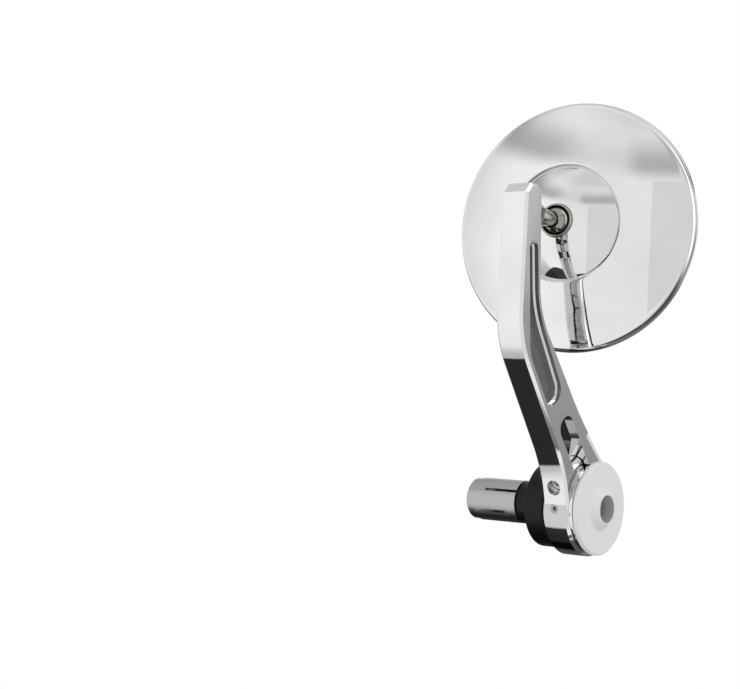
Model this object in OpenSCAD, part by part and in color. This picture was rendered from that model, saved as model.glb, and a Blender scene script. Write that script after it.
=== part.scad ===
// Bar end mirror: a round mirror head on a ball joint, carried by a cranked arm
// that clamps round an adapter in the end of a handlebar.
// Millimetres. The origin is on the bar axis where the adapter's collar meets the bar end.
// +X points outboard along the bar, +Y to the rider, +Z up along the arm's straight part.

/* [Bar adapter] */
// Radius of the collar between the bar's grip and the arm
collar_r = 16.9; // [14:0.1:20]
// Length of the collar
collar_len = 9.7; // [6:0.1:16]
// Width of the bevel on the collar's outboard edge
collar_bevel = 1.5; // [0.4:0.1:3]
// Radius of the neck that the arm clamps on
neck_r = 13; // [11:0.1:14]
// Radius of the spigot that goes into the bar's tube
spigot_r = 8.7; // [6.5:0.1:10]
// Length of the spigot
spigot_len = 9; // [5:0.5:20]
// Length of the expanding sleeve inside the tube
sleeve_len = 20; // [12:0.5:32]
// Half angle of the two cones that spread the sleeve
cone_angle = 14; // [8:0.5:20]
// Radius of the long bolt through the adapter
bolt_r = 3; // [2.5:0.1:4]

/* [End cap] */
// Radius of the end cap's disc
cap_r = 18.5; // [16:0.1:22]
// Thickness of the disc at its edge
cap_t = 2; // [1.5:0.1:4]
// Base radius of the cap's raised cone
cone_base_r = 8.75; // [6:0.05:12]
// Radius of the cone's nose
cone_nose_r = 6; // [5:0.05:9]
// Height of the cone above the disc
cone_h = 2.7; // [1:0.1:5]
// Radius of the hole that takes the bolt head
cap_hole_r = 5.4; // [4:0.05:7]

/* [Arm] */
// Thickness of the arm along the bar axis
arm_t = 11.5; // [8:0.1:16]
// Width of the chamfer round the arm's edges
arm_ch = 1; // [0.4:0.1:2]
// Height of the arm's top above the bar axis
arm_top = 121.1; // [90:0.1:160]
// Distance of the arm's front face ahead of the bar axis
arm_front = 58; // [45:0.1:75]
// Depth of the arm front to back at its top
arm_depth = 10.3; // [8:0.1:16]
// Outer radius of the clamp ring
ring_r = 19.2; // [17.5:0.1:24]
// Height of the raised boss round the bore
hub_h = 1.3; // [0.6:0.1:3]
// Radius of the raised boss
hub_r = 18; // [16:0.1:20]
// Slope of the arm's front edge below the horizontal
leg_angle = 53.3; // [50:0.1:56]
// Radius of the front of the arm's knee
knee_front_r = 36; // [15:1:60]
// Radius of the back of the arm's knee
knee_back_r = 30; // [20:1:60]
// Depth of the blind pocket in the arm's outboard face
pocket_d = 4.2; // [2:0.1:6]
// Depth of the ledge in the pocket
ledge_d = 2.1; // [1:0.1:3]
// Width of the ledge in the pocket
ledge_w = 0.8; // [0.3:0.1:2]
// Width of the slit that lets the ring close
slit_w = 0.9; // [0.5:0.1:2]

/* [Clamp screws] */
// Tilt of the clamp screw above the horizontal
clamp_angle = 33; // [15:1:50]
// Distance of the clamp screw from the bar axis
clamp_off = 17.4; // [16.5:0.1:18.5]
// Radius of the clamp screw's shank
clamp_r = 1.5; // [1.2:0.05:2]
// Radius of the boss round the clamp screw
clamp_boss_r = 3.4; // [2.8:0.1:4]
// Radius of the grub screw in the front pad
grub_r = 1.75; // [1.2:0.05:2.5]

/* [Ball joint] */
// Radius of the ball
ball_r = 5.7; // [4.5:0.05:8]
// Radius of the stud's neck
stud_neck_r = 3.35; // [2:0.05:4]
// Width across the flats of the stud's hexagon
hex_af = 10; // [7:0.1:14]
// Height of the ball above the bar axis
ball_z = 110.8; // [80:0.1:150]
// Distance of the ball ahead of the bar axis
ball_front = 26.8; // [18:0.1:40]
// Outer radius of the retaining ring
retainer_r = 6.55; // [6:0.05:9]
// Radius of the retaining ring's opening
retainer_hole_r = 5.4; // [4:0.05:7.5]
// Turn of the head about the upright axis
head_pan = 8.9; // [-15:0.1:15]
// Tilt of the head about the cross axis
head_tilt = 0; // [-15:0.1:15]

/* [Head] */
// Outer radius of the mirror head
head_r = 50; // [40:0.5:65]
// Depth of the head's rim
rim_d = 9; // [6:0.1:14]
// Radius of the edge between the rim and the domed back
crease_r = 48; // [36:0.1:64]
// Radius of curvature of the domed back
dome_R = 104; // [80:1:160]
// Wall thickness of the shell
shell_t = 2; // [1.2:0.1:3]
// Radius of the recess that the hub sits in
recess_r = 23.5; // [18:0.1:30]
// Depth of the recess
recess_d = 2; // [1:0.1:3]
// Radius of curvature of the hub's small dome
hub_dome_R = 31; // [27:0.5:60]
// Distance of the ball behind the edge of the domed back
ball_w = 14.4; // [12:0.1:20]
// Radius of the mirror glass
glass_r = 47.2; // [36:0.1:62]
// Thickness of the mirror glass
glass_t = 2; // [1.5:0.1:3]

/* [Hidden] */
run_gap = 0.05;
free_gap = 0.3;
seat = 0.02;
arc_ease = 0.002;
top_r = 3.5;
arm_x0 = collar_len + free_gap;
arm_x1 = arm_x0 + arm_t;
arm_mid = arm_x0 + arm_t / 2;
hub_x1 = arm_x1 + hub_h;
cap_x0 = hub_x1 + 0.5;
cap_x1 = cap_x0 + cap_t;
bore_r = neck_r + run_gap;
bolt_head_r = 5;
bolt_head_h = 6;
head_seat_x = cap_x1 + cone_h - 11.8;
washer_t = 1.2;
sleeve_x0 = -spigot_len - 1;
cone_len = 8;
nut_x0 = sleeve_x0 - sleeve_len;
bolt_len = head_seat_x - washer_t - nut_x0 + 8;
ball_pos = [arm_mid, -ball_front, ball_z];
arm_back_top = -arm_front + arm_depth;
back_slope = 0.0702;
hex_h = 5.6;
nut_h = 5;
nut_seat = -arm_back_y(ball_z) - ball_front + 0.4;
thread_r = 3;
thread_len = 8;
pad_off = 18.4;
tangent_angle = 49;
clamp_u = [cos(clamp_angle), sin(clamp_angle)];
clamp_foot = [-clamp_off * sin(clamp_angle), clamp_off * cos(clamp_angle)];
screw_seat_s = -7;
screw_head_r = 2.75;
screw_head_h = 3;
screw_len = 19;
gap_s = 5.2;
back_len = 32.1;
back_angle = 49.5;
dome_c = dome_R * cos(asin(crease_r / dome_R));
recess_w = sqrt(dome_R * dome_R - recess_r * recess_r) - dome_c;
floor_w = recess_w - recess_d;
hub_edge_r = recess_r - 1.2;
hub_c = floor_w - sqrt(hub_dome_R * hub_dome_R - hub_edge_r * hub_edge_r);
retainer_top_w = ball_w + 2.9;
retainer_h = 4.8;
hub_bore_r = retainer_r + run_gap;
hub_tube_r = 9.4;
socket_w0 = 3.2;
spring_w0 = socket_w0 + 1.6;
spring_t = 1.2;
cup_w0 = spring_w0 + spring_t;
cup_w1 = ball_w - 2.2;
liner_r = ball_r + 0.55;
liner_drop = 3.8;
glass_w = -rim_d + 0.5;
pad_t = 1.2;
seal_t = 0.7;
hub_screw_ring = 15.5;

// The back of the arm at height z, from its straight upper line
function arm_back_y(z) = arm_back_top + back_slope * (arm_top - z);
function unit(v) = v / norm(v);
function left(v) = [-v[1], v[0]];
function dir(p, i) = unit(p[(i + 1) % len(p)] - p[i]);
// A closed outline moved inwards by d, corner by corner
function moved(p, d) = [for (i = [0:len(p) - 1])
    let (a = left(dir(p, (i + len(p) - 1) % len(p))), b = left(dir(p, i)))
    p[i] + d * (a + b) / (1 + a * b)];
function turn(p, i) = let (a = dir(p, (i + len(p) - 1) % len(p)), b = dir(p, i))
    atan2(a[0] * b[1] - a[1] * b[0], a * b);
// Length from corner i to where its arc of radius r starts, and the arc's centre
function reach(p, i, r) = r * tan(abs(turn(p, i)) / 2);
function arc_centre(p, i, r) = let (a = dir(p, (i + len(p) - 1) % len(p)))
    p[i] - a * reach(p, i, r) + left(a) * r * sign(turn(p, i));
// Points along the arc of radius r at corner i, in n steps
function arc_points(p, i, r, n) = let (c = arc_centre(p, i, r), t = turn(p, i),
    v = p[i] - dir(p, (i + len(p) - 1) % len(p)) * reach(p, i, r) - c)
    [for (k = [0:n]) let (g = t * k / n)
        c + [v[0] * cos(g) - v[1] * sin(g), v[0] * sin(g) + v[1] * cos(g)]];
// An outline whose corners are arcs in steps of about five degrees
function rounded(p, r) = [for (i = [0:len(p) - 1])
    each r[i] > 0 ? arc_points(p, i, r[i], max(3, ceil(abs(turn(p, i)) / 5))) : [p[i]]];
// The radii of an outline that has moved inwards by d
function moved_r(p, r, d) = [for (i = [0:len(p) - 1])
    r[i] == 0 ? 0 : max(0.05, r[i] - d * sign(turn(p, i)))];
function at_angle(a) = [cos(a), sin(a)];

back_n = at_angle(tangent_angle);
back_bend = ring_r * back_n + back_len * left(back_n);
back_knee = let (m = back_slope, y0 = arm_back_top + m * arm_top, n = at_angle(90 - back_angle))
    let (z = (n * back_bend - n[0] * y0) / (n[1] - n[0] * m)) [y0 - m * z, z];
front_knee_z = 62.3;
pad_angle = 10.2;
pad_n = -at_angle(pad_angle);
leg_n = [-sin(leg_angle), -cos(leg_angle)];
leg_off = leg_n * [-arm_front, front_knee_z];
front_foot = let (det = leg_n[0] * pad_n[1] - leg_n[1] * pad_n[0])
    [(leg_off * pad_n[1] - leg_n[1] * pad_off) / det,
     (leg_n[0] * pad_off - leg_off * pad_n[0]) / det];
pad_end = pad_n * pad_off + left(pad_n) * 4.6;

arm_corners = [[-arm_front, arm_top - 3.7], [-arm_front, front_knee_z], front_foot, pad_end,
    [0, -8], ring_r * back_n, back_bend, back_knee, [arm_back_top, arm_top],
    [-arm_front + 3.2, arm_top]];
bend_steps = 3;
top_steps = 8;
arm_pts = [for (i = [0:len(arm_corners) - 1])
    each i == 6 ? arc_points(arm_corners, i, 120, bend_steps)
        : i == 8 ? arc_points(arm_corners, i, top_r, top_steps) : [arm_corners[i]]];
arm_rad = [0, knee_front_r, 52, 0, 0, 0, for (k = [0:bend_steps]) 0, knee_back_r,
    for (k = [0:top_steps]) 0, 0];

pocket_pts = [[-54.8, 99.4], [-50.7, 57.3], [-35.6, 37.2], [-25.9, 43.6], [-46.3, 74.1],
    [-49.1, 99.4]];
pocket_rad = [2.7, 14, 4.5, 5.5, 35, 2.7];

window_pts = [[-28.8, 31], [-15.1, 14.3], [-8.5, 14.3], [-4.2, 16.6], [-21.05, 37.35]];
window_rad = [4.5, 0.8, 0, 0, 4.5];

// Lays a plan drawn in Y and Z on the plane x and gives it the thickness t
module slab(x, t) {
    translate([x, 0, 0]) rotate([90, 0, 90]) linear_extrude(height = t) children();
}
// A shape of revolution round the bar axis, drawn as [radius, x]
module turned(pts) {
    rotate([90, 0, 90]) rotate_extrude() polygon(pts);
}
module bar_cyl(x, len, r) {
    translate([x, 0, 0]) rotate([0, 90, 0]) cylinder(h = len, r = r);
}
// Places children drawn with z along the clamp screw, from the foot point of its axis
module on_clamp(s = 0) {
    translate([arm_mid, clamp_foot[0] + s * clamp_u[0], clamp_foot[1] + s * clamp_u[1]])
        rotate([clamp_angle - 90, 0, 0]) children();
}
// Places children drawn with z along the stud, from the ball towards the arm
module on_stud() {
    translate(ball_pos) rotate([90, 0, 0]) children();
}
// Places children drawn with z along the head's axis, out of its domed back
module on_head() {
    translate(ball_pos) rotate([0, 0, head_pan]) rotate([head_tilt, 0, 0])
        rotate([90, 0, 0]) translate([0, 0, -ball_w]) children();
}

module bar_adapter() {
    color("#1c1d1f") difference() {
        turned([[0, -spigot_len - cone_len],
            [spigot_r - 0.4 - cone_len * tan(cone_angle), -spigot_len - cone_len],
            [spigot_r - 0.4, -spigot_len], [spigot_r, -spigot_len], [spigot_r, 0],
            [collar_r - 0.3, 0], [collar_r, 0.3], [collar_r, collar_len - collar_bevel],
            [collar_r - collar_bevel, collar_len], [neck_r, collar_len],
            [neck_r, cap_x0 - 0.4], [neck_r - 0.4, cap_x0], [0, cap_x0]]);
        bar_cyl(-spigot_len - cone_len - 1, 60, bolt_r + 0.3);
        bar_cyl(head_seat_x - washer_t, 20, cap_hole_r + 1.65);
    }
}

module expander_sleeve() {
    mouth_r = spigot_r - 0.35;
    color("#a9adb0") difference() {
        turned([[mouth_r - (cone_len - 1) * tan(cone_angle), sleeve_x0 - cone_len + 1],
            [mouth_r, sleeve_x0], [spigot_r, sleeve_x0],
            [spigot_r, nut_x0], [mouth_r, nut_x0],
            [mouth_r - (cone_len - 1) * tan(cone_angle), nut_x0 + cone_len - 1]]);
        for (a = [0, 120, 240]) rotate([a, 0, 0])
            translate([nut_x0 - 1, -0.6, 0]) cube([sleeve_len - 4, 1.2, 12]);
        for (a = [60, 180, 300]) rotate([a, 0, 0])
            translate([nut_x0 + 5, -0.6, 0]) cube([sleeve_len - 4, 1.2, 12]);
    }
}

module cone_nut() {
    color("#8d9194") difference() {
        turned([[0, nut_x0 - 4], [spigot_r - 0.9, nut_x0 - 4], [spigot_r - 0.4, nut_x0 - 3.5],
            [spigot_r - 0.4, nut_x0],
            [spigot_r - 0.4 - cone_len * tan(cone_angle), nut_x0 + cone_len],
            [0, nut_x0 + cone_len]]);
        bar_cyl(nut_x0 - 5, 20, bolt_r + run_gap);
    }
}

module end_cap() {
    hub = cap_hole_r + 1.6;
    color("#d8d7d4") difference() {
        turned([[0, head_seat_x], [hub, head_seat_x], [hub, cap_x0], [cap_r - 0.35, cap_x0],
            [cap_r, cap_x0 + 0.35], [cap_r, cap_x1 - 0.5], [cap_r - 0.5, cap_x1],
            [cone_base_r, cap_x1], [cone_nose_r + 0.15, cap_x1 + cone_h - 0.12],
            [cone_nose_r, cap_x1 + cone_h], [0, cap_x1 + cone_h]]);
        bar_cyl(head_seat_x - 1, 30, bolt_r + 0.3);
        bar_cyl(head_seat_x + 1.4, 30, cap_hole_r);
    }
}

module bolt_washer() {
    color("#b5b8ba") difference() {
        bar_cyl(head_seat_x - washer_t, washer_t, cap_hole_r + 1.4);
        bar_cyl(head_seat_x - washer_t - 1, washer_t + 2, bolt_r + 0.15);
    }
}

module cap_bolt() {
    x = head_seat_x + 1.4;
    color("#c3c5c6") difference() {
        union() {
            turned([[0, nut_x0 - 6], [bolt_r - 0.5, nut_x0 - 6], [bolt_r, nut_x0 - 5.5],
                [bolt_r, x], [bolt_head_r, x], [bolt_head_r, x + bolt_head_h - 0.4],
                [bolt_head_r - 0.4, x + bolt_head_h], [0, x + bolt_head_h]]);
        }
        translate([x + bolt_head_h - 3.2, 0, 0]) hex_hole(5, 4);
    }
}

// A six sided hole along +X, its width across flats given
module hex_hole(af, len) {
    rotate([0, 90, 0]) linear_extrude(height = len)
        polygon([for (a = [0:60:300]) af / sqrt(3) * [cos(a), sin(a)]]);
}

// The area between an outward corner i of an outline and the arc of radius r that rounds it
module corner_piece(p, i, r) {
    c = arc_centre(p, i, r);
    u = dir(p, (i + len(p) - 1) % len(p));
    tip = p[i] + 0.2 * unit(p[i] - c);
    difference() {
        polygon([tip, p[i] + dir(p, i) * reach(p, i, r), c, p[i] - u * reach(p, i, r)]);
        translate(c) circle(r = r);
    }
}

// An outline with true arcs at its corners, given counterclockwise. An inward corner
// starts as a straight chord, and its arc is cut out of that.
module plan(p, r) {
    n = len(p);
    difference() {
        polygon([for (i = [0:n - 1]) each r[i] > 0 && turn(p, i) < 0
            ? [p[i] - dir(p, (i + n - 1) % n) * reach(p, i, r[i]),
                p[i] + dir(p, i) * reach(p, i, r[i])]
            : [p[i]]]);
        for (i = [0:n - 1]) if (r[i] > 0) {
            if (turn(p, i) < 0) translate(arc_centre(p, i, r[i])) circle(r = r[i] - arc_ease);
            else corner_piece(p, i, r[i]);
        }
    }
}

// Cuts a bevel c wide and d deep along every edge of an outline, on the face at height z.
// The side is 1 for an upper face and -1 for a lower one.
module bevel_cuts(p, r, c, d, z, side) {
    n = len(p);
    k = 0.5;
    for (i = [0:n - 1]) {
        j = (i + 1) % n;
        u = dir(p, i);
        lead = r[i] > 0 ? -reach(p, i, r[i]) : turn(p, i) > 0 ? 2 : -(c + k) * tan(turn(p, i) / 2);
        tail = r[j] > 0 ? -reach(p, j, r[j]) : turn(p, j) > 0 ? 2 : -(c + k) * tan(turn(p, j) / 2);
        translate([p[i][0] - u[0] * lead, p[i][1] - u[1] * lead, z])
            rotate([0, 0, atan2(u[1], u[0])]) rotate([90, 0, 90])
                linear_extrude(height = norm(p[j] - p[i]) + lead + tail)
                    polygon([[-k, -side * d * (1 + k / c)], [c + k, side * d * k / c],
                        [-k, side * d * k / c]]);
        if (r[i] > 0) {
            t = turn(p, i);
            s = sign(t);
            a = dir(p, (i + n - 1) % n);
            m = arc_centre(p, i, r[i]);
            from = atan2(a[1], a[0]) + (s > 0 ? -90 : 90 + t);
            translate([m[0], m[1], z]) rotate([0, 0, from]) rotate_extrude(angle = abs(t))
                polygon([[r[i] + s * k, -side * d * (1 + k / c)],
                    [r[i] - s * (c + k), side * d * k / c], [r[i] + s * k, side * d * k / c]]);
        }
    }
}

// The arm's plan between the two faces, bevelled all round
module arm_block() {
    rotate([90, 0, 90]) difference() {
        translate([0, 0, arm_x0]) linear_extrude(height = arm_t) plan(arm_pts, arm_rad);
        bevel_cuts(arm_pts, arm_rad, arm_ch, arm_ch, arm_x1, 1);
        bevel_cuts(arm_pts, arm_rad, arm_ch, arm_ch, arm_x0, -1);
        rear_bevel();
    }
}

module ring_block() {
    turned([[0, arm_x0], [ring_r - arm_ch, arm_x0], [ring_r, arm_x0 + arm_ch],
        [ring_r, arm_x1 - arm_ch], [ring_r - arm_ch, arm_x1], [hub_r, arm_x1],
        [hub_r, hub_x1 - 0.3], [hub_r - 0.3, hub_x1], [0, hub_x1]]);
}

// The wide shallow bevel on the outboard edge of the arm's rear leg
module rear_bevel() {
    a = ring_r * back_n - 9 * left(back_n);
    translate([a[0], a[1], arm_x1]) rotate([0, 0, tangent_angle + 90])
        rotate([90, 0, 90]) linear_extrude(height = back_len + 1)
            polygon([[-1, -1.3 - 1.3 / 3.1], [4.1, 1.3 / 3.1], [-1, 1.3 / 3.1]]);
}

module arm() {
    color("#c9cbcc") difference() {
        union() {
            difference() {
                union() {
                    arm_block();
                    ring_block();
                }
                slab(arm_x0 - 1, arm_t + 4) polygon(rounded(window_pts, window_rad));
            }
            on_clamp(-6) cylinder(h = 5.5 + gap_s, r = clamp_boss_r);
        }
        bar_cyl(arm_x0 - 1, 30, bore_r);
        // The blind pocket with its ledge
        slab(arm_x1 - ledge_d, 10) polygon(rounded(pocket_pts, pocket_rad));
        slab(arm_x1 - pocket_d, 10) polygon(rounded(moved(pocket_pts, ledge_w),
            moved_r(pocket_pts, pocket_rad, ledge_w)));
        // The flat pad in front of the ring
        translate([arm_x0 - 1, 0, 0]) rotate([pad_angle, 0, 0])
            translate([0, -pad_off - 10, -4.6]) cube([30, 10, 9]);
        // The cut that lets the ring close
        on_clamp(gap_s - slit_w / 2) translate([-10, 0, 0]) cube([30, 9, slit_w]);
        // The clamp screw's counterbore, clearance hole and tapped hole
        on_clamp(screw_seat_s - 14) cylinder(h = 14, r = screw_head_r + 0.15);
        on_clamp(screw_seat_s - 1) cylinder(h = gap_s - screw_seat_s + 1, r = clamp_r + 0.15);
        on_clamp(0) cylinder(h = screw_seat_s + screw_len + 0.5, r = clamp_r + run_gap);
        // The grub screw's tapped hole
        grub_place(-1) cylinder(h = 12, r = grub_r + run_gap);
        // The stud's tapped hole
        on_stud() translate([0, 0, nut_seat - 1])
            cylinder(h = thread_len + 1, r = thread_r + run_gap);
        // The flat seat of the lock nut
        on_stud() translate([0, 0, nut_seat - 3]) cylinder(h = 3, r = hex_af * 0.62);
    }
}

// Along the pad's grub screw: z runs inwards from the pad, h is the start below its face
module grub_place(h) {
    translate([arm_mid - 0.4, 0, 0]) rotate([pad_angle, 0, 0])
        translate([0, -pad_off + h, 2.6]) rotate([-90, 0, 0]) children();
}

module clamp_screw() {
    color("#b9bbbd") difference() {
        union() {
            on_clamp(screw_seat_s) cylinder(h = screw_len, r = clamp_r);
            on_clamp(screw_seat_s - screw_head_h) cylinder(h = screw_head_h, r = screw_head_r);
        }
        on_clamp(screw_seat_s - screw_head_h - 1) linear_extrude(height = 3)
            polygon([for (a = [0:60:300]) 2.5 / sqrt(3) * [cos(a), sin(a)]]);
    }
}

module grub_screw() {
    color("#9fa2a4") difference() {
        grub_place(0.1) cylinder(h = pad_off - 0.1 - bore_r - 0.25, r = grub_r);
        grub_place(-1) linear_extrude(height = 3)
            polygon([for (a = [0:60:300]) 1.8 / sqrt(3) * [cos(a), sin(a)]]);
    }
}

module lock_nut() {
    color("#a8a49e") on_stud() translate([0, 0, nut_seat - nut_h])
        difference() {
            hex_prism(nut_h);
            translate([0, 0, -1]) cylinder(h = nut_h + 2, r = thread_r + run_gap);
        }
}

// A hexagonal prism along z with both ends turned to a cone
module hex_prism(h) {
    intersection() {
        linear_extrude(height = h)
            polygon([for (a = [20:60:320]) hex_af / sqrt(3) * [cos(a), sin(a)]]);
        rotate_extrude() polygon([[0, 0], [hex_af / 2 - 0.1, 0], [hex_af / sqrt(3) + 0.1, 0.9],
            [hex_af / sqrt(3) + 0.1, h - 0.9], [hex_af / 2 - 0.1, h], [0, h]]);
    }
}

module ball_stud() {
    z = nut_seat - nut_h;
    color("#a9a39a") on_stud() {
        sphere(r = ball_r);
        cylinder(h = z - 1, r = stud_neck_r);
        translate([0, 0, z - hex_h]) hex_prism(hex_h);
        translate([0, 0, z - 0.5]) cylinder(h = nut_h + thread_len, r = thread_r);
    }
}

module ball_liner() {
    color("#e6e4dc") on_head() difference() {
        translate([0, 0, ball_w]) sphere(r = liner_r);
        translate([0, 0, ball_w]) sphere(r = ball_r + run_gap);
        translate([-20, -20, ball_w - liner_drop]) cube(40);
        translate([0, 0, 0]) cylinder(h = ball_w - 5, r = 1.6);
    }
}

module seat_cup() {
    color("#d9d6cb") on_head() difference() {
        translate([0, 0, cup_w0]) cylinder(h = cup_w1 - cup_w0, r = hub_bore_r - run_gap - 0.05);
        translate([0, 0, ball_w]) sphere(r = liner_r + run_gap);
        translate([0, 0, cup_w0 - 1]) cylinder(h = 10, r = 2);
    }
}

module wave_spring() {
    color("#9a9da0") on_head() difference() {
        translate([0, 0, spring_w0]) cylinder(h = spring_t, r = 6.3);
        translate([0, 0, spring_w0 - 1]) cylinder(h = spring_t + 2, r = 4.4);
    }
}

module hub() {
    color("#d3d4d5") on_head() difference() {
        union() {
            intersection() {
                translate([0, 0, hub_c]) sphere(r = hub_dome_R);
                translate([0, 0, floor_w]) cylinder(h = 30, r = hub_edge_r);
            }
            translate([0, 0, socket_w0]) cylinder(h = 8, r = hub_tube_r);
        }
        translate([0, 0, spring_w0]) cylinder(h = 30, r = hub_bore_r);
        hub_screw_places() translate([0, 0, floor_w - 1]) cylinder(h = 5, r = 1.55);
    }
}

// The places of the screws that hold the hub, along the head's axis
module hub_screw_places() {
    for (a = [90, 210, 330]) rotate([0, 0, a]) translate([hub_screw_ring, 0, 0]) children();
}

module retaining_ring() {
    w0 = retainer_top_w - retainer_h;
    color("#b7b2aa") on_head() difference() {
        translate([0, 0, w0]) rotate_extrude()
            polygon([[0, 0], [retainer_r, 0], [retainer_r, retainer_h - 0.3],
                [retainer_r - 0.3, retainer_h], [0, retainer_h]]);
        translate([0, 0, ball_w]) sphere(r = ball_r + run_gap);
        translate([0, 0, w0 - 1]) cylinder(h = ball_w - w0 + 1, r = ball_r + run_gap);
        cylinder(h = 40, r = retainer_hole_r);
        for (a = [50, 230]) rotate([0, 0, a]) translate([5.9, -0.5, retainer_top_w - 1])
            cube([2, 1, 2]);
    }
}

module head_shell() {
    inner_R = dome_R - shell_t;
    ledge_r = glass_r - 3.2;
    color("#d5d6d7") on_head() difference() {
        union() {
            intersection() {
                translate([0, 0, -dome_c]) sphere(r = dome_R);
                translate([0, 0, -1]) cylinder(h = 30, r = crease_r);
            }
            rotate_extrude() polygon(rim_profile());
        }
        // The recess for the hub, with a slightly conical wall
        translate([0, 0, floor_w]) cylinder(h = recess_d + 4, r1 = recess_r - 0.9,
            r2 = recess_r - 0.9 + (recess_d + 4) * 0.45);
        // The hollow behind the dome
        difference() {
            intersection() {
                translate([0, 0, -dome_c]) sphere(r = inner_R);
                union() {
                    translate([0, 0, -rim_d - 1]) cylinder(h = 40, r = ledge_r);
                    translate([0, 0, -rim_d + 5.6]) cylinder(h = 30, r = ledge_r + 2);
                }
            }
            translate([0, 0, floor_w - shell_t]) cylinder(h = 20, r = recess_r + 1.2);
        }
        // The seat of the glass
        translate([0, 0, -rim_d - 5]) cylinder(h = glass_w + glass_t + pad_t + rim_d + 5,
            r = glass_r + seal_t + seat);
        cylinder(h = 30, r = hub_tube_r + 0.1);
        hub_screw_places() cylinder(h = 30, r = 1.65);
    }
}

// The rim's rounded outside from the crease to its rear edge, as [radius, w]
function rim_profile() = concat([[0, 0], [crease_r, 0]],
    [for (k = [1:8]) let (g = 90 - k * 90 / 8)
        [crease_r + (head_r - crease_r) * cos(g), -4 + 4 * sin(g)]],
    [[head_r, -rim_d + 0.8], [head_r - 0.8, -rim_d], [0, -rim_d]]);

module hub_screws() {
    w0 = floor_w - shell_t;
    color("#8e9193") on_head() hub_screw_places() difference() {
        union() {
            translate([0, 0, w0]) cylinder(h = shell_t + 3.6, r = 1.5);
            translate([0, 0, w0 - 1.8]) cylinder(h = 1.8, r = 2.75);
        }
        translate([0, 0, w0 - 2.8]) linear_extrude(height = 2)
            polygon([for (a = [0:60:300]) 2 / sqrt(3) * at_angle(a)]);
    }
}

module backing_pad() {
    color("#2a2b2c") on_head() translate([0, 0, glass_w + glass_t])
        cylinder(h = pad_t, r = glass_r - 0.3);
}

module mirror_glass() {
    color("#dfe5e8") on_head() translate([0, 0, glass_w]) cylinder(h = glass_t, r = glass_r);
}

module glass_seal() {
    color("#191a1b") on_head() difference() {
        translate([0, 0, glass_w - 0.2]) cylinder(h = glass_t + pad_t + 0.2, r = glass_r + seal_t);
        translate([0, 0, glass_w - 1]) cylinder(h = glass_t + 4, r = glass_r + seat);
    }
}

bar_adapter();
expander_sleeve();
cone_nut();
end_cap();
bolt_washer();
cap_bolt();
arm();
clamp_screw();
grub_screw();
lock_nut();
ball_stud();
ball_liner();
seat_cup();
wave_spring();
hub();
retaining_ring();
head_shell();
hub_screws();
backing_pad();
mirror_glass();
glass_seal();
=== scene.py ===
"""Bar end mirror: the shown model, its materials and a small studio.

Every piece is built by one operator, in the same frame as the CAD part. Blender's
own lengths and the settings are in metres; profiles and constants are in millimetres.
"""

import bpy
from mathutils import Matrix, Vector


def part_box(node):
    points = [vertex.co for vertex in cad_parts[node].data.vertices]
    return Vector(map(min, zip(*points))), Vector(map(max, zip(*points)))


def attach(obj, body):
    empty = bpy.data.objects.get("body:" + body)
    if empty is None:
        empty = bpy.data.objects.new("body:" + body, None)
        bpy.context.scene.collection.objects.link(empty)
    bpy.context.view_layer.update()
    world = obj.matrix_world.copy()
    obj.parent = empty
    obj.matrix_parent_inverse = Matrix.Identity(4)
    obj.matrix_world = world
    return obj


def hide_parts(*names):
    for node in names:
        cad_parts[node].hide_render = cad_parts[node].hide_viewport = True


bl_info = {
    "name": "Bar end mirror",
    "version": (1, 0, 0),
    "blender": (4, 5, 0),
    "location": "View3D > Sidebar > Mirror",
    "description": "Builds a bar end mirror round its CAD frame",
    "category": "Add Mesh",
}

import math

import bmesh
import bpy
from bpy.props import FloatProperty, IntProperty, PointerProperty
from mathutils import Matrix, Vector

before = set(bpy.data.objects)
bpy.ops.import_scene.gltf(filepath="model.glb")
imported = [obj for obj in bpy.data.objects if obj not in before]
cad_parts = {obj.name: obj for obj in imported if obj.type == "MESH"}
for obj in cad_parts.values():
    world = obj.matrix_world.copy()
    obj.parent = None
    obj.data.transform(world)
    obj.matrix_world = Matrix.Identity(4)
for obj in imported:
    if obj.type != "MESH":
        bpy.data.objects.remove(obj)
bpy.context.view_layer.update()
MM = 0.001

# Where the ball's centre is, and how far the head is panned, as in the CAD source
BALL = Vector((15.75, -26.8, 110.8)) * MM
PAN = math.radians(8.9)
# Height of the ball's centre along the head's axis
BALL_W = 14.4
HEAD = (
    Matrix.Translation(BALL)
    @ Matrix.Rotation(PAN, 4, "Z")
    @ Matrix.Rotation(math.pi / 2, 4, "X")
    @ Matrix.Translation((0, 0, -BALL_W * MM))
)
STUD = Matrix.Translation(BALL) @ Matrix.Rotation(math.pi / 2, 4, "X")
BAR = Matrix.Rotation(math.pi / 2, 4, "Y")
# Middle of the clamp gap on the clamp screw's axis, and the turn of that axis
CLAMP_X, CLAMP_R, CLAMP_TURN = 15.75, 17.4, math.radians(33)
CLAMP = (
    Matrix.Translation(
        Vector((CLAMP_X, -CLAMP_R * math.sin(CLAMP_TURN), CLAMP_R * math.cos(CLAMP_TURN))) * MM
    )
    @ Matrix.Rotation(CLAMP_TURN - math.pi / 2, 4, "X")
)

# The head: its outer radius, the circle where its height is zero, and the dome's edge
HEAD_R, CREASE_R, EDGE_R = 50.0, 48.0, 48.2
# The rim: how high its outside curves, its bore, and the depth of what lies in it
RIM_CURVE, RIM_BORE, RIM_STACK = 3.8, 47.92, 3.7
SHELL_WALL = 2.0
# The recess for the hub: its radius, the heights of its floor and of the floor's back
RECESS_R, SEAT_W, BACK_W = 23.4, 7.05, 5.2
# The hub: the radius of its dome's edge, that edge's height, and the socket's radius
HUB_EDGE_R, HUB_EDGE_W, SOCKET_R = 22.95, 7.75, 6.6
GLASS_R, PAD_R = 47.2, 46.9
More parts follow.
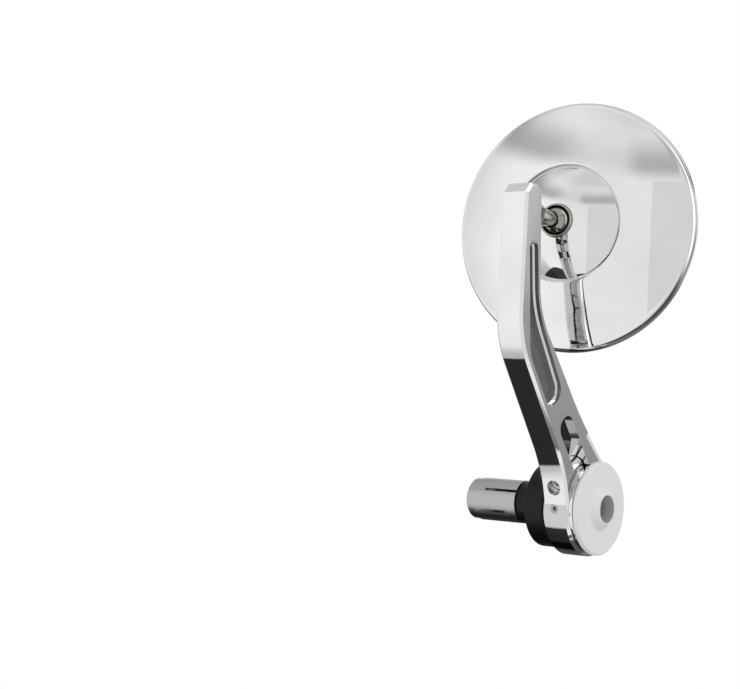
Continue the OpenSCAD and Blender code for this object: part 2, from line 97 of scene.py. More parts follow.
# The ball and the stud
BALL_R, NECK_R, STUD_R = 5.7, 3.35, 3.0
NUT_ACROSS, NUT_CHAMFER = 10.0, 0.35
# The arm: the ledge's least depth, the pocket's greatest, and the top of the machined pad
LEDGE_FROM, POCKET_TO, PAD_TOP = 2.4, 6.0, 15.0
# The radius inside which the end cap is painted darker, as painted shade in its bore
CAP_SHADE_R = 5.5
# Where the threads that show begin, and the size of their ridges
BOLT_TAIL_X, CLAMP_THREAD_FROM, RIDGE = -35.9, 3.2, 0.12
# Angles in degrees above which an edge is hard, on turned pieces and on CAD nodes
TURNED_ANGLE, NODE_ANGLE = 22.0, 26.0

WHITE = (1.0, 1.0, 1.0, 1.0)
DEGREES = 180 / math.pi


# ---- shader maths ----


class Value:
    """A number or vector in a node tree; the usual operators add maths nodes."""

    def __init__(self, shader, socket):
        self.shader, self.socket = shader, socket

    def _math(self, op, *more):
        return self.shader.node("ShaderNodeMath", [self, *more], operation=op)

    def __add__(self, other):
        return self._math("ADD", other)

    def __sub__(self, other):
        return self._math("SUBTRACT", other)

    def __mul__(self, other):
        return self._math("MULTIPLY", other)

    def __pow__(self, other):
        return self._math("POWER", other)

    def __abs__(self):
        return self._math("ABSOLUTE")

    def sin(self):
        return self._math("SINE")

    def most(self, other):
        return self._math("MAXIMUM", other)

    def angle(self, other):
        return self._math("ARCTAN2", other)

    def step(self, low, high):
        """Zero below low, one above high, smooth between."""
        n = [self, low, high, 0.0, 1.0]
        return self.shader.node(
            "ShaderNodeMapRange", n, interpolation_type="SMOOTHSTEP"
        )

    def band(self, a, b, c, d):
        """One from b to c, and zero below a and above d."""
        return self.step(a, b) * (self * -1.0).step(-d, -c)

    def dim(self, mask, share=1.0):
        """Loses its share where the mask is one."""
        return self * (mask * -share + 1.0)

    def parts(self):
        """The three numbers of a vector."""
        split = self.shader.tree.nodes.new("ShaderNodeSeparateXYZ")
        self.shader.tree.links.new(self.socket, split.inputs[0])
        return [Value(self.shader, s) for s in split.outputs]


class Shader:
    """Writes one node tree."""

    def __init__(self, tree):
        self.tree = tree
        tree.nodes.clear()

    def put(self, socket, value):
        """Links a Value to a socket or sets a constant on it."""
        if isinstance(value, Value):
            self.tree.links.new(value.socket, socket)
        else:
            socket.default_value = value

    def node(self, kind, inputs=(), out=0, **settings):
        """Adds a node; inputs is a list by position or a dict by socket name."""
        n = self.tree.nodes.new(kind)
        for key, value in settings.items():
            setattr(n, key, value)
        pairs = inputs.items() if isinstance(inputs, dict) else enumerate(inputs)
        for key, value in pairs:
            self.put(n.inputs[key], value)
        return Value(self, n.outputs[out])

    def place(self):
        """Object coordinates in millimetres."""
        at = self.node("ShaderNodeTexCoord", out="Object")
        return self.node(
            "ShaderNodeVectorMath", {0: at, "Scale": 1000.0}, operation="SCALE"
        )

    def stretch(self, at, by):
        return self.node("ShaderNodeVectorMath", [at, by], operation="MULTIPLY")

    def noise(self, at, scale, detail=3.0, rough=0.5):
        return self.node(
            "ShaderNodeTexNoise",
            {"Vector": at, "Scale": scale, "Detail": detail, "Roughness": rough},
        )

    def bump(self, height, strength, distance):
        return self.node(
            "ShaderNodeBump",
            {"Height": height, "Strength": strength, "Distance": distance},
        )

    def blend(self, factor, a, b):
        """A colour between a and b."""
        n = {"Factor": factor, 6: (*a, 1.0), 7: (*b, 1.0)}
        return self.node("ShaderNodeMix", n, out=2, data_type="RGBA")


def material(name, colour, **fixed):
    """A new material with a Principled shader; returns it, its shader and the node."""
    mat = bpy.data.materials.new(name)
    mat.use_nodes = True
    sh = Shader(mat.node_tree)
    face = mat.node_tree.nodes.new("ShaderNodeBsdfPrincipled")
    end = mat.node_tree.nodes.new("ShaderNodeOutputMaterial")
    mat.node_tree.links.new(face.outputs[0], end.inputs[0])
    face.inputs["Base Color"].default_value = (*colour, 1.0)
    mat.diffuse_color = (*colour, 1.0)
    for key, value in fixed.items():
        face.inputs[key.replace("_", " ")].default_value = value
    return mat, sh, face


def times(colour, share):
    return tuple(c * share for c in colour)


def polished(name, colour, rough=0.025, wave=0.012):
    """Polished metal with faint wipe marks, fine specks and a little unevenness."""
    mat, sh, face = material(name, colour, Metallic=1.0)
    at = sh.place()
    wipes = sh.noise(sh.stretch(at, (0.9, 0.35, 0.12)), 0.6, 5.0, 0.6)
    specks = sh.noise(at, 9.0, 2.0).step(0.68, 0.78)
    cloud = sh.noise(at, 0.045, 4.0, 0.55)
    roughness = wipes.step(0.45, 0.8) * 0.03 + rough + specks * 0.012
    sh.put(face.inputs["Roughness"], roughness + cloud.step(0.5, 0.75) * 0.02)
    tone = sh.blend(cloud.step(0.35, 0.7), colour, times(colour, 0.93))
    sh.put(face.inputs["Base Color"], tone)
    sh.put(face.inputs["Normal"], sh.bump(sh.noise(at, 0.11, 2.0), wave, 0.001))
    return mat


def satin(name, colour, rough=0.3, grain=(0.25, 6.0, 6.0), depth=0.05):
    """Metal with a fine directional grain."""
    mat, sh, face = material(name, colour, Metallic=1.0)
    at = sh.place()
    lines = sh.noise(sh.stretch(at, grain), 2.2, 4.0, 0.65)
    cloud = sh.noise(at, 0.09, 3.0)
    wear = sh.noise(at, 1.3, 4.0).step(0.55, 0.8)
    sh.put(face.inputs["Roughness"], lines * 0.16 + rough - 0.08 + wear * 0.05)
    tone = sh.blend(lines * 0.5 + cloud * 0.5, colour, times(colour, 0.86))
    sh.put(face.inputs["Base Color"], tone)
    sh.put(face.inputs["Normal"], sh.bump(lines, depth, 0.0002))
    return mat


def turned(name, colour, rough, pitch, depth, metal, bore=0.0):
    """Turned on a lathe: rings round the bar's axis, and painted shade that darkens it inside
    the bore radius.
    """
    mat, sh, face = material(name, colour, Metallic=metal)
    at = sh.place()
    x, y, z = at.parts()
    radius = (y * y + z * z) ** 0.5
    warp = sh.noise(at, 0.4, 2.0) * 0.25
    rings = ((radius + warp + x) * (2 * math.pi / pitch)).sin() * 0.5 + 0.5
    fine = sh.noise(at, 7.0, 3.0)
    sh.put(face.inputs["Roughness"], rings * 0.06 + rough + fine * 0.08)
    shade = fine * 0.25
    # Painted shade: inside the bore radius the colour is darkened, as if shaded in the hole;
    # elsewhere only the fine noise varies the tone
    if bore:
        shade = (radius.step(bore, bore + 0.1) * -1.0 + 1.0).most(shade)
    sh.put(face.inputs["Base Color"], sh.blend(shade, colour, times(colour, 0.6)))
    sh.put(face.inputs["Normal"], sh.bump(rings * 0.6 + fine * 0.4, depth, 0.0001))
    return mat


def soft(name, colour, rough=0.6, scale=3.0, depth=0.15):
    """Rubber, foam or moulded plastic with a fine pebbled skin."""
    mat, sh, face = material(name, colour)
    at = sh.place()
    skin = sh.noise(at, scale, 5.0, 0.6)
    dust = sh.noise(at, 0.3, 4.0).step(0.5, 0.8)
    sh.put(face.inputs["Roughness"], skin * 0.2 + rough - 0.1)
    pale = tuple(min(1.0, c * 1.35 + 0.01) for c in colour)
    sh.put(face.inputs["Base Color"], sh.blend(dust, colour, pale))
    sh.put(face.inputs["Normal"], sh.bump(skin, depth, 0.0002))
    return mat


def silvered(name):
    """Mirror glass: a clear front over a silvered back, with faint dust."""
    clean, wiped = (0.86, 0.89, 0.9), (0.83, 0.86, 0.88)
    mat, sh, face = material(name, clean, Metallic=1.0, Coat_Weight=1.0, Coat_Roughness=0.01)
    at = sh.place()
    dust = sh.noise(at, 1.6, 6.0, 0.7).step(0.62, 0.82)
    wipe = sh.noise(sh.stretch(at, (0.5, 0.1, 0.1)), 0.4, 4.0).step(0.5, 0.8)
    sh.put(face.inputs["Roughness"], dust * 0.03 + wipe * 0.012 + 0.004)
    sh.put(face.inputs["Base Color"], sh.blend(wipe, clean, wiped))
    return mat


# ---- meshes ----


def show(name, mesh, body, nodes, mats):
    """Puts a finished mesh in the scene as a piece that stands for CAD nodes."""
    if not mesh.polygons:
        raise RuntimeError("the piece " + name + " has no faces")
    ob = bpy.data.objects.new(name.replace(" ", "_"), mesh)
    bpy.context.scene.collection.objects.link(ob)
    if not mesh.materials:
        for m in mats:
            mesh.materials.append(m)
    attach(ob, body)
    if nodes:
        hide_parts(*nodes)
    return ob


def lathe(bm, profile, matrix, steps, closed=False):
    """Turns (radius, height) points in millimetres round the matrix's z axis."""
    rings = []
    for r, h in profile:
        if r < 1e-6:
            rings.append([bm.verts.new(matrix @ Vector((0, 0, h * MM)))])
            continue
        ring = []
        for k in range(steps):
            a = 2 * math.pi * k / steps
            p = Vector((r * math.cos(a), r * math.sin(a), h)) * MM
            ring.append(bm.verts.new(matrix @ p))
        rings.append(ring)
    for a, b in zip(rings, rings[1:] + rings[:1] if closed else rings[1:]):
        for k in range(steps):
            m = (k + 1) % steps
            if len(a) == 1 and len(b) == 1:
                continue
            if len(a) == 1:
                corners = [a[0], b[m], b[k]]
            elif len(b) == 1:
                corners = [a[k], a[m], b[0]]
            else:
                corners = [a[k], a[m], b[m], b[k]]
            bm.faces.new(corners)


def arc(cx, cy, r, a0, a1, n):
    """Points of an arc in (radius, height), angles in degrees."""
    out = []
    for k in range(n + 1):
        a = math.radians(a0 + (a1 - a0) * k / n)
        out.append((cx + r * math.cos(a), cy + r * math.sin(a)))
    return out


def finish_mesh(bm, name, sharp):
    """Turns a bmesh into a smooth mesh whose hard edges stay hard."""
    bmesh.ops.recalc_face_normals(bm, faces=bm.faces)
    mesh = bpy.data.meshes.new(name)
    bm.to_mesh(mesh)
    bm.free()
    mesh.shade_smooth()
    mesh.set_sharp_from_angle(angle=math.radians(sharp))
    return mesh


def head_piece(label, profile, node, mat, steps, closed=False):
    """Turns a profile round the head's axis and shows it in place of a CAD node."""
    bm = bmesh.new()
    lathe(bm, profile, HEAD, steps, closed)
    show(label, finish_mesh(bm, label, TURNED_ANGLE), "head_body", [node], [mat])


def node_copy(name):
    """A bmesh of a CAD node."""
    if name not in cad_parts:
        raise RuntimeError("the frame has no node " + name)
    bm = bmesh.new()
    bm.from_mesh(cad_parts[name].data)
    bmesh.ops.remove_doubles(bm, verts=bm.verts, dist=2e-6)
    return bm


def object_of(bm, name, mats):
    """A linked object that holds a bmesh and its materials."""
    mesh = bpy.data.meshes.new(name)
    bm.to_mesh(mesh)
    bm.free()
    for m in mats:
        mesh.materials.append(m)
    ob = bpy.data.objects.new(name, mesh)
    bpy.context.scene.collection.objects.link(ob)
    return ob


def taken(ob, name):
    """The plain mesh that an object's modifiers make; the object is removed."""
    dg = bpy.context.evaluated_depsgraph_get()
    out = bpy.data.meshes.new_from_object(ob.evaluated_get(dg))
    ob.modifiers.clear()
    bpy.data.objects.remove(ob)
    out.name = name
    return out


def evened(ob, name):
    """The plain mesh of an object, with normals that follow its larger faces."""
    even = ob.modifiers.new("flats", "WEIGHTED_NORMAL")
    even.mode = "FACE_AREA"
    even.weight = 50
    even.keep_sharp = True
    return taken(ob, name)


def crisp(bm, name, mats, angle):
    """Plain mesh of a bmesh whose flat faces shade flat and whose arcs shade round."""
    bm.normal_update()
    for f in bm.faces:
        f.smooth = True
    for e in bm.edges:
        level = [abs(f.normal.x) > 0.9995 for f in e.link_faces]
        turned_by = e.calc_face_angle(0.0) if len(level) == 2 else 0.0
        e.smooth = len(set(level)) == 1 and turned_by < math.radians(angle)
    return evened(object_of(bm, name, mats), name)


def soften(bm, name, width, mats):
    """Joins the flat areas of a bmesh, rounds its hard edges and returns the mesh."""
    bmesh.ops.dissolve_limit(
        bm, angle_limit=math.radians(0.6), verts=bm.verts, edges=bm.edges
    )
    ob = object_of(bm, name, mats)
    ob.data.shade_smooth()
    mod = ob.modifiers.new("edges", "BEVEL")
    mod.width = width * MM
    mod.segments = 2
    mod.limit_method = "ANGLE"
    mod.angle_limit = math.radians(NODE_ANGLE)
    mod.use_clamp_overlap = True
    return evened(ob, name)


def thread_nodes():
    """A node group that winds a three sided ridge round the z axis."""
    tree = bpy.data.node_groups.new("thread", "GeometryNodeTree")
    face = tree.interface
    face.new_socket("Geometry", in_out="INPUT", socket_type="NodeSocketGeometry")
    for label in ("Radius", "Turns", "Height", "Ridge"):
        face.new_socket(label, in_out="INPUT", socket_type="NodeSocketFloat")
    face.new_socket("Metal", in_out="INPUT", socket_type="NodeSocketMaterial")
    face.new_socket("Geometry", in_out="OUTPUT", socket_type="NodeSocketGeometry")
    nodes, link = tree.nodes, tree.links.new
    given = nodes.new("NodeGroupInput").outputs
    helix = nodes.new("GeometryNodeCurveSpiral")
    helix.inputs["Resolution"].default_value = 48
    for label in ("Start Radius", "End Radius"):
        link(given["Radius"], helix.inputs[label])
    link(given["Turns"], helix.inputs["Rotations"])
    link(given["Height"], helix.inputs["Height"])
    ridge = nodes.new("GeometryNodeCurvePrimitiveCircle")
    ridge.inputs["Resolution"].default_value = 3
    link(given["Ridge"], ridge.inputs["Radius"])
    sweep = nodes.new("GeometryNodeCurveToMesh")
    sweep.inputs["Fill Caps"].default_value = True
    link(helix.outputs[0], sweep.inputs[0])
    link(ridge.outputs[0], sweep.inputs["Profile Curve"])
    real = nodes.new("GeometryNodeRealizeInstances")
    link(sweep.outputs[0], real.inputs[0])
    paint = nodes.new("GeometryNodeSetMaterial")
    link(real.outputs[0], paint.inputs[0])
    link(given["Metal"], paint.inputs["Material"])
    link(paint.outputs[0], nodes.new("NodeGroupOutput").inputs[0])
    return tree


def thread(tree, name, matrix, radius, pitch, length, mat):
    """The plain mesh of a thread; its sizes are in millimetres."""
    ob = bpy.data.objects.new(name, bpy.data.meshes.new(name))
    bpy.context.scene.collection.objects.link(ob)
    mod = ob.modifiers.new("thread", "NODES")
    mod.node_group = tree
    values = {
        "Radius": radius * MM,
        "Turns": length / pitch,
        "Height": length * MM,
        "Ridge": RIDGE * MM,
        "Metal": mat,
    }
    for item in tree.interface.items_tree:
        if item.in_out == "INPUT" and item.name in values:
            mod[item.identifier] = values[item.name]
    out = taken(ob, name)
    if not out.polygons:
        raise RuntimeError("the thread " + name + " has no faces")
    out.transform(matrix)
    return out


# ---- settings ----


class HeadSettings(bpy.types.PropertyGroup):
    """Sizes of the mirror head."""

    dome: FloatProperty(
        name="Dome radius",
        description="Radius of the domed back",
        default=0.104,
        unit="LENGTH",
    )
    hub_dome: FloatProperty(
        name="Hub radius",
        description="Radius of the hub's small dome",
        default=0.0345,
        unit="LENGTH",
    )
    rim: FloatProperty(
        name="Rim",
        description="Depth of the rim behind the edge of the dome",
        default=0.005,
        unit="LENGTH",
    )
    steps: IntProperty(
        name="Steps", description="Facets round the head", default=256, min=64
    )


class ArmSettings(bpy.types.PropertyGroup):
    """Rules for the arm's edges and faces."""

    round_to: FloatProperty(
        name="Round to",
        description="Edges that turn less than this many degrees shade round",
        default=20.0,
    )
    # Faces deeper than this get the pocket floor: a rough grain, and a dark colour that is
    # painted shade in the recess
    floor_from: FloatProperty(
        name="Pocket from",
        description="Depth from which a flat face is the pocket's rough floor",
        default=0.0044,
        unit="LENGTH",
    )


class JointSettings(bpy.types.PropertyGroup):
    """Sizes of the ball joint."""

    nut: FloatProperty(
        name="Nut",
        description="Height of the lock nut that shows",
        default=0.0033,
        unit="LENGTH",
    )


class StageSettings(bpy.types.PropertyGroup):
    """The studio round the part."""

    lens: FloatProperty(
        name="Lens", description="Focal length in millimetres", default=72.97
    )
    glow: FloatProperty(
        name="Glow", description="Strength of the studio's light", default=1.0
    )


# ---- operators ----


class MIRROR_OT_head(bpy.types.Operator):
    """Builds the domed head, its hub, the retaining ring, the glass, pad and seal"""

    bl_idname = "mirror.head"
    bl_label = "Build the head"

    def execute(self, context):
        s = context.scene.mirror_head
        n = s.steps
        big = s.dome / MM
        # The dome's centre lies c below the crease; the shown rim ends at rear
        c = math.sqrt(big * big - CREASE_R * CREASE_R)
        rear = -s.rim / MM
        chrome = polished("head chrome", (0.83, 0.835, 0.84))
        cast = satin("shell inside", (0.42, 0.42, 0.43), 0.45)

        edge_w = math.sqrt(big * big - EDGE_R * EDGE_R) - c
        top = math.degrees(math.acos(EDGE_R / big))
        lip = math.degrees(math.acos((RECESS_R + 0.22) / big))
        shell = [(RIM_BORE, rear + RIM_STACK), (RIM_BORE, rear + 0.3), (48.1, rear)]
        shell += arc(HEAD_R - 0.8, rear + 0.8, 0.8, -90, 0, 5)
        for k in range(9):
            t = math.radians(k * 10.5)
            r = EDGE_R + (HEAD_R - EDGE_R) * math.cos(t)
            shell.append((r, edge_w - RIM_CURVE + RIM_CURVE * math.sin(t)))
        shell += arc(0, -c, big, top + 0.12, lip, 40)
        shell += [(RECESS_R + 0.06, 9.04), (RECESS_R, 8.9), (RECESS_R - 0.1, SEAT_W + 0.1)]
        shell += [(RECESS_R - 0.2, SEAT_W), (9.6, SEAT_W), (9.6, BACK_W), (24.6, BACK_W)]
        shell += arc(0, -c, big - SHELL_WALL, 76, 65.2, 12) + [(44.0, rear + RIM_STACK)]
        bm = bmesh.new()
        lathe(bm, shell, HEAD, n, closed=True)
        # What faces out is chrome, and the inside is cast
        to_head = HEAD.inverted()
        for f in bm.faces:
            at = (to_head @ f.calc_center_median()) / MM
            r = math.hypot(at.x, at.y)
            outside = at.z > math.sqrt(big * big - min(r, CREASE_R) ** 2) - c - 0.3
            f.material_index = 0 if outside or r > 47.95 or at.z > 6.9 else 1
        mesh = finish_mesh(bm, "head shell", TURNED_ANGLE)
        show("head shell", mesh, "head_body", ["head_shell"], [chrome, cast])

        small = s.hub_dome / MM
        cs = HUB_EDGE_W - math.sqrt(small * small - HUB_EDGE_R * HUB_EDGE_R)
        a0 = math.degrees(math.acos((HUB_EDGE_R - 0.05) / small))
        a1 = math.degrees(math.acos((SOCKET_R + 0.25) / small))
        top_w = cs + math.sqrt(small * small - SOCKET_R * SOCKET_R)
        hub = [(9.4, SEAT_W), (22.85, SEAT_W), (22.97, 7.12), (22.97, 7.7)]
        hub += arc(0, cs, small, a0 + 0.15, a1, 48)
        hub += [(SOCKET_R + 0.1, top_w - 0.02), (SOCKET_R, top_w - 0.15)]
        hub += [(SOCKET_R, 4.8), (0, 4.8), (0, 3.2), (9.4, 3.2)]
        head_piece("hub", hub, "hub", chrome, n, closed=True)

        steel = polished("ring steel", (0.4, 0.375, 0.345), 0.2, 0.02)
        ring = [(5.76, 12.5), (6.55, 12.5), (6.55, 17.0), (6.4, 17.22), (6.2, 17.3)]
        ring += [(5.92, 17.3), (5.78, 17.15), (5.72, 16.6), (5.76, 14.6)]
        head_piece("retaining ring", ring, "retaining_ring", steel, 96, closed=True)

        # The glass, the pad behind it and the seal round it, from the rim's rear edge
        glass = [(0, 0.5), (GLASS_R - 0.5, 0.5), (GLASS_R, 0.8), (GLASS_R, 2.5), (0, 2.5)]
        pad = [(0, 2.5), (PAD_R - 0.2, 2.5), (PAD_R, 2.7), (PAD_R, 3.6)]
        pad += [(PAD_R - 0.2, RIM_STACK), (0, RIM_STACK)]
        seal = [(GLASS_R + 0.02, 0.75), (47.3, 0.45), (47.5, 0.3), (47.75, 0.4), (47.9, 0.7)]
        seal += [(47.9, RIM_STACK), (GLASS_R + 0.02, RIM_STACK)]
        silver = silvered("mirror silver")
        foam = soft("backing foam", (0.02, 0.02, 0.021), 0.8, 1.5, 0.4)
        rubber = soft("seal rubber", (0.012, 0.012, 0.013))
        for label, profile, node, mat, slot, closed in (
            ("mirror glass", glass, "mirror_glass", silver, "mirror_face", False),
            ("pad", pad, "backing_pad", foam, "soft_black", False),
            ("seal", seal, "glass_seal", rubber, "seal_black", True),
        ):
            placed = [(r, rear + h) for r, h in profile]
            head_piece(label, placed, node, mat, n, closed)
        return {"FINISHED"}


class MIRROR_OT_arm(bpy.types.Operator):
    """Builds the arm with polished sides, satin faces, a rough pocket floor painted dark as
    shade, and chamfers and ledge painted bright as highlights
    """

    bl_idname = "mirror.arm"
    bl_label = "Build the arm"

    def execute(self, context):
        s = context.scene.mirror_arm
        mats = [
            polished("arm chrome", (0.8, 0.805, 0.81), 0.03, 0.015),
            satin("arm face", (0.62, 0.625, 0.63), 0.24, (6.0, 5.0, 0.3), 0.03),
            # The pocket floor is rough, and its dark colour is painted shade in the recess
            satin("pocket floor", (0.2, 0.203, 0.208), 0.42, (3.0, 3.0, 3.0), 0.3),
            # Chamfers and the ledge get polished metal brighter than the chrome: a painted
            # highlight
            polished("arm edge", (0.92, 0.92, 0.92), 0.06, 0.0),
        ]
        chrome, face, floor, edge = range(len(mats))
        floor_from = s.floor_from / MM
        bm = node_copy("arm")
        outer_x = max(v.co.x for v in bm.verts) / MM
        for f in bm.faces:
            at = f.calc_center_median() / MM
            deep = outer_x - at.x
            level = abs(f.normal.x)
            if level < 0.9:
                # The machined pad in front of the ring is a face too
                pad = f.normal.y < -0.98 and f.normal.z < -0.1 and at.z < PAD_TOP
                f.material_index = face if pad else edge if level > 0.3 else chrome
            # Faces deep in the pocket get the dark floor: painted shade in the recess, over a
            # rough grain
            elif f.normal.x > 0 and floor_from < deep < POCKET_TO:
                f.material_index = floor
            # The ledge round the pocket gets the bright edge metal, a painted highlight
            elif f.normal.x > 0 and LEDGE_FROM < deep <= floor_from:
                f.material_index = edge
            else:
                f.material_index = face
        mesh = crisp(bm, "arm", mats, s.round_to)
        show("arm", mesh, "arm_body", ["arm"], mats)
        return {"FINISHED"}


class MIRROR_OT_joint(bpy.types.Operator):
    """Builds the ball stud and the lock nut"""

    bl_idname = "mirror.joint"
    bl_label = "Build the ball joint"

    def execute(self, context):
        steel = polished("stud steel", (0.42, 0.4, 0.375), 0.11, 0.01)
        # Heights along the stud, in millimetres from the ball's centre towards the arm
        seat = (BALL.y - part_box("lock_nut")[0][1]) / MM
        nut = context.scene.mirror_joint.nut / MM
        tip = (BALL.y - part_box("ball_stud")[0][1]) / MM
        foot = seat - nut

        start = math.degrees(math.acos(NECK_R / BALL_R))
        stud = [(0, -BALL_R)] + arc(0, 0, BALL_R, -88, start, 40)
        stud += [(NECK_R, foot), (NECK_R, foot + 0.3), (STUD_R, foot + 0.5)]
        stud += [(STUD_R, tip - 0.4), (STUD_R - 0.4, tip), (0, tip)]
        bm = bmesh.new()
        lathe(bm, stud, STUD, 96)
        mesh = finish_mesh(bm, "ball stud", 30.0)
        show("shown ball stud", mesh, "arm_body", ["ball_stud"], [steel])

        # Six steps make the hexagon; its corners are chamfered at both ends
        hole, wide = STUD_R + 0.02, NUT_ACROSS / math.sqrt(3)
        hexagon = [(hole, 0), (wide - 0.6, 0), (wide, NUT_CHAMFER), (wide, nut - NUT_CHAMFER)]
        hexagon += [(wide - 0.6, nut), (hole, nut)]
        bm = bmesh.new()
        turn = STUD @ Matrix.Rotation(math.radians(20), 4, "Z")
        lathe(bm, [(r, h + foot) for r, h in hexagon], turn, 6, closed=True)
        mesh = finish_mesh(bm, "lock nut", 15.0)
        show("shown lock nut", mesh, "arm_body", ["lock_nut"], [steel])
        return {"FINISHED"}


class MIRROR_OT_adapter(bpy.types.Operator):
    """Builds the adapter, the end cap and the screws, and colours the inner pieces"""

    bl_idname = "mirror.adapter"
    bl_label = "Build the adapter and cap"

    def execute(self, context):
        black = turned("black collar", (0.012, 0.0125, 0.014), 0.28, 0.16, 0.05, 0.7)
        # The end cap's colour is darker inside its bore: painted shade in the hole
        cap = turned("cap satin", (0.93, 0.92, 0.905), 0.45, 0.1, 0.03, 0.1, CAP_SHADE_R)
        bolt = polished("bolt steel", (0.6, 0.6, 0.605), 0.1, 0.02)
        plain = satin("plain steel", (0.5, 0.5, 0.505), 0.32)
        # Each with the width of its rounded edges in millimetres
        for node, label, body, mat, slot, width in (
            ("bar_adapter", "bar adapter", "bar_end", black, "adapter_black", 0.15),
            ("end_cap", "end cap", "bar_end", cap, "cap_satin", 0.12),
            ("cap_bolt", "cap bolt", "bar_end", bolt, "bolt_steel", 0.1),
            ("clamp_screw", "clamp screw", "arm_body", bolt, "bolt_steel", 0.12),
            ("grub_screw", "grub screw", "arm_body", plain, "steel_small", 0.08),
        ):
            mesh = soften(node_copy(node), label, width, [mat])
            show(label, mesh, body, [node], [mat])

        tree = thread_nodes()
        tail = Matrix.Translation((BOLT_TAIL_X * MM, 0, 0)) @ BAR
        gap = CLAMP @ Matrix.Translation((0, 0, CLAMP_THREAD_FROM * MM))
        for label, body, at, radius, pitch, length in (
            ("bolt thread", "bar_end", tail, 3.0, 1.0, 1.8),
            ("clamp thread", "arm_body", gap, 1.5, 0.5, 4.0),
        ):
            mesh = thread(tree, label, at, radius, pitch, length, bolt)
            show(label, mesh, body, [], [bolt])

        polymer = soft("liner polymer", (0.72, 0.7, 0.65), 0.4, 2.0, 0.05)
        for mat, nodes in (
            (plain, ("expander_sleeve", "cone_nut", "bolt_washer", "wave_spring", "hub_screws")),
            (polymer, ("ball_liner", "seat_cup")),
        ):
            for node in nodes:
                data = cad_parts[node].data
                data.materials.clear()
                data.materials.append(mat)
        return {"FINISHED"}


def studio_level(sh):
    """How bright the studio is in each direction, as polished metal shows it."""
    x, y, z = sh.node("ShaderNodeTexCoord", out="Generated").parts()
    # Degrees round the part from straight ahead, positive to +X, and above the horizon
    az = x.angle(y * -1.0) * DEGREES
    el = z.angle((x * x + y * y) ** 0.5) * DEGREES
    left, down = az * -1.0, el * -1.0
    side = az.step(85.0, 100.0)
    level = az.step(-82.0, -40.0) * 0.24 + az.step(-32.0, 5.0) * -0.12 + 0.8
    # A wide panel to the right
    level = level.dim(az.band(27.5, 28.3, 71.0, 71.8) * down.step(-27.9, -27.2), 0.15)
    # A soft dark band above, lower to the right, and a dimmer ceiling
    lift = el + az.step(-5.0, 26.0) * 4.0
    strong = az.step(8.0, 24.0) * 0.32 + left.step(0.0, 35.0) * 0.36 + 0.12
    level = level.dim(lift.band(30.0, 39.0, 40.0, 57.0) * strong)
    level = level.dim(el.step(45.0, 66.0), 0.2)
    # Dark below; it starts lower to the right and stops at the side
    below = (down - az.step(-40.0, 2.0) * 18.0).step(45.0, 46.5)
    level = level.dim(below * (side * -1.0 + 1.0), 0.95)
    # Dimmer at the far right, where a lamp stands
    level = level.dim(side * (el.step(-4.0, 12.0) * -0.34 + 0.62))
    lamp = az.band(88.0, 96.0, 122.0, 136.0) * el.step(-30.0, -5.0)
    level = level + lamp * 0.95
    # Low on both sides it is dark, and it fades in below the left
    level = level.dim(az.step(84.0, 96.0) * down.step(18.0, 34.0), 0.75)
    level = level.dim(left.step(92.0, 104.0) * down.step(-4.0, 4.0), 0.88)
    level = level.dim(left.step(40.0, 48.0) * down.step(22.0, 44.0), 0.4)
    # Straight behind: a pale wall with a thin dark bar, and a dark floor
    wall = el.step(-16.0, -12.0) * 0.8 + 0.18
    wall = wall - el.band(19.0, 20.5, 26.5, 28.0) * 0.8
    wall = wall - el.step(28.0, 34.0) * 0.2
    level = level + abs(az).step(158.0, 164.0) * (wall - level)
    # A thin dark upright between the panel and the lamp
    return level.dim(az.band(78.0, 79.0, 86.0, 87.0) * down.step(-60.0, -50.0), 0.85)


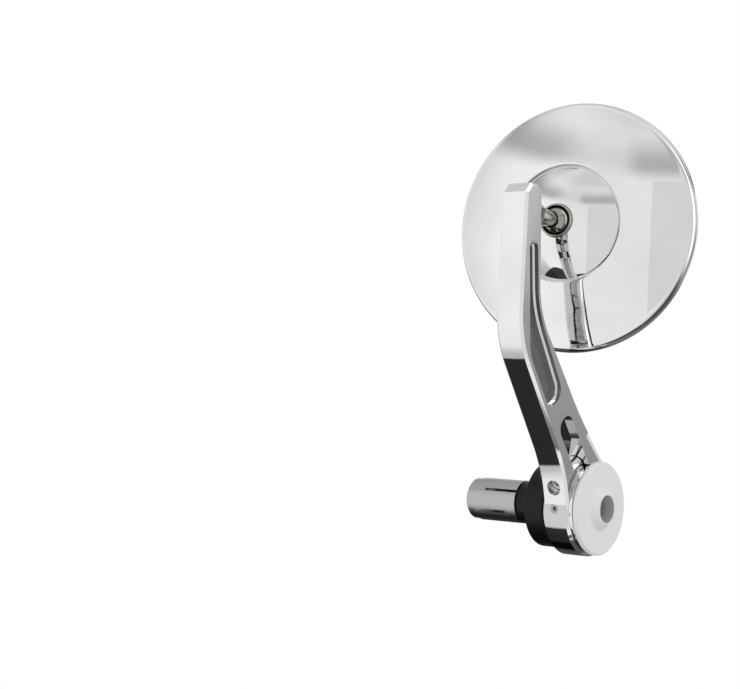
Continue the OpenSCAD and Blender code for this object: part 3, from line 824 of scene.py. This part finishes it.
class MIRROR_OT_stage(bpy.types.Operator):
    """Sets up the camera, the floor and the light"""

    bl_idname = "mirror.stage"
    bl_label = "Build the studio"

    def execute(self, context):
        s = context.scene.mirror_stage
        cam = bpy.data.cameras.new("camera")
        cam.sensor_fit = "HORIZONTAL"
        cam.sensor_width = 36.0
        cam.lens = s.lens
        cam.clip_start, cam.clip_end = 0.01, 20.0
        ob = bpy.data.objects.new("camera", cam)
        at = Vector((326.28, -520.18, 26.02)) * MM
        right = Vector((0.77673, 0.62736, 0.05578))
        up = Vector((-0.00777, -0.07901, 0.99684))
        away = Vector((0.62978, -0.77471, -0.05650))
        spin = Matrix((right, up, away)).transposed().to_4x4()
        ob.matrix_world = Matrix.Translation(at) @ spin
        context.scene.collection.objects.link(ob)
        context.scene.camera = ob
        context.scene.view_settings.view_transform = "Standard"

        # The camera sees white, and everything else the studio
        world = bpy.data.worlds.new("studio")
        world.use_nodes = True
        context.scene.world = world
        sh = Shader(world.node_tree)
        glow = studio_level(sh) * s.glow
        light = sh.node("ShaderNodeBackground", {"Color": WHITE, "Strength": glow})
        white = sh.node("ShaderNodeBackground", {"Color": WHITE, "Strength": 1.0})
        ray = sh.node("ShaderNodeLightPath", out="Is Camera Ray")
        both = sh.node("ShaderNodeMixShader", [ray, light, white])
        end = world.node_tree.nodes.new("ShaderNodeOutputWorld")
        sh.put(end.inputs[0], both)

        # A pale floor that is as white as the rest to the camera
        mesh = bpy.data.meshes.new("floor")
        corners = [(-3, -3, -0.4), (3, -3, -0.4), (3, 3, -0.4), (-3, 3, -0.4)]
        mesh.from_pydata(corners, [], [(0, 1, 2, 3)])
        mat, sh, face = material("floor", (0.8, 0.8, 0.8), Roughness=0.9)
        white = sh.node("ShaderNodeEmission", {"Color": WHITE, "Strength": 1.0})
        ray = sh.node("ShaderNodeLightPath", out="Is Camera Ray")
        both = sh.node("ShaderNodeMixShader", [ray, Value(sh, face.outputs[0]), white])
        end = next(n for n in mat.node_tree.nodes if n.type == "OUTPUT_MATERIAL")
        sh.put(end.inputs[0], both)
        mesh.materials.append(mat)
        floor = bpy.data.objects.new("floor", mesh)
        floor.visible_glossy = False
        context.scene.collection.objects.link(floor)
        return {"FINISHED"}


class MIRROR_PT_panel(bpy.types.Panel):
    """The part's settings and steps"""

    bl_label = "Bar end mirror"
    bl_idname = "MIRROR_PT_panel"
    bl_space_type = "VIEW_3D"
    bl_region_type = "UI"
    bl_category = "Mirror"

    def draw(self, context):
        layout = self.layout
        for group, names in (
            (context.scene.mirror_head, ("dome", "hub_dome", "rim", "steps")),
            (context.scene.mirror_arm, ("round_to", "floor_from")),
            (context.scene.mirror_joint, ("nut",)),
            (context.scene.mirror_stage, ("lens", "glow")),
        ):
            for name in names:
                layout.prop(group, name)
        for op in ("head", "arm", "joint", "adapter", "stage"):
            layout.operator("mirror." + op)


CLASSES = (
    HeadSettings,
    ArmSettings,
    JointSettings,
    StageSettings,
    MIRROR_OT_head,
    MIRROR_OT_arm,
    MIRROR_OT_joint,
    MIRROR_OT_adapter,
    MIRROR_OT_stage,
    MIRROR_PT_panel,
)


def register():
    for cls in CLASSES:
        bpy.utils.register_class(cls)
    bpy.types.Scene.mirror_head = PointerProperty(type=HeadSettings)
    bpy.types.Scene.mirror_arm = PointerProperty(type=ArmSettings)
    bpy.types.Scene.mirror_joint = PointerProperty(type=JointSettings)
    bpy.types.Scene.mirror_stage = PointerProperty(type=StageSettings)


def unregister():
    del bpy.types.Scene.mirror_stage
    del bpy.types.Scene.mirror_joint
    del bpy.types.Scene.mirror_arm
    del bpy.types.Scene.mirror_head
    for cls in reversed(CLASSES):
        bpy.utils.unregister_class(cls)


def main():
    """Builds every piece and the studio."""
    register()
    bpy.ops.mirror.head()
    bpy.ops.mirror.arm()
    bpy.ops.mirror.joint()
    bpy.ops.mirror.adapter()
    bpy.ops.mirror.stage()


if __name__ == "__main__":
    main()
